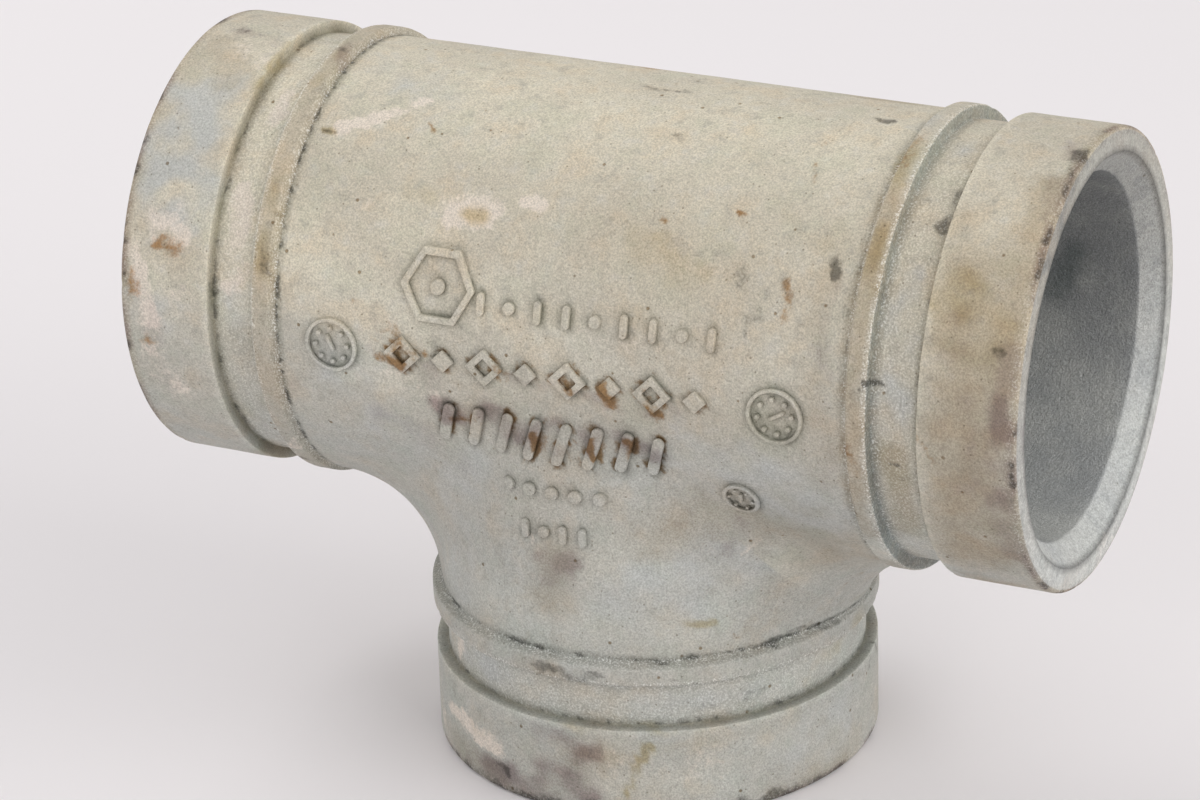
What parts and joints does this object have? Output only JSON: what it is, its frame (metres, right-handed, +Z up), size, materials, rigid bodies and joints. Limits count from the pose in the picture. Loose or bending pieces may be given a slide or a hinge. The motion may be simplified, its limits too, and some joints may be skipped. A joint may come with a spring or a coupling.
{
  "type": "grooved-end tee fitting",
  "caption": "Straight pipe tee cast in galvanised ductile iron, with a shouldered, grooved end on each run side and on the branch.",
  "frame": {"origin": "middle of the branch's end face, which the tee stands on", "axes": "+Z up along the branch, +X along the run to the right-hand end, the marked front faces -Y"},
  "size_m": [0.1524, 0.0736, 0.113],
  "materials": {
    "galvanised_iron": "matte, grainy hot-dip zinc with stains"
  },
  "bodies": {
    "root": {"tee_casting": "galvanised_iron", "hexagon_badge": "galvanised_iron", "left_dial": "galvanised_iron", "right_dial": "galvanised_iron", "small_dial": "galvanised_iron", "upper_bar_row": "galvanised_iron", "middle_lozenge_row": "galvanised_iron", "lower_slanted_row": "galvanised_iron", "neck_pip_row": "galvanised_iron", "neck_bar_row": "galvanised_iron"}
  },
  "joints": []
}
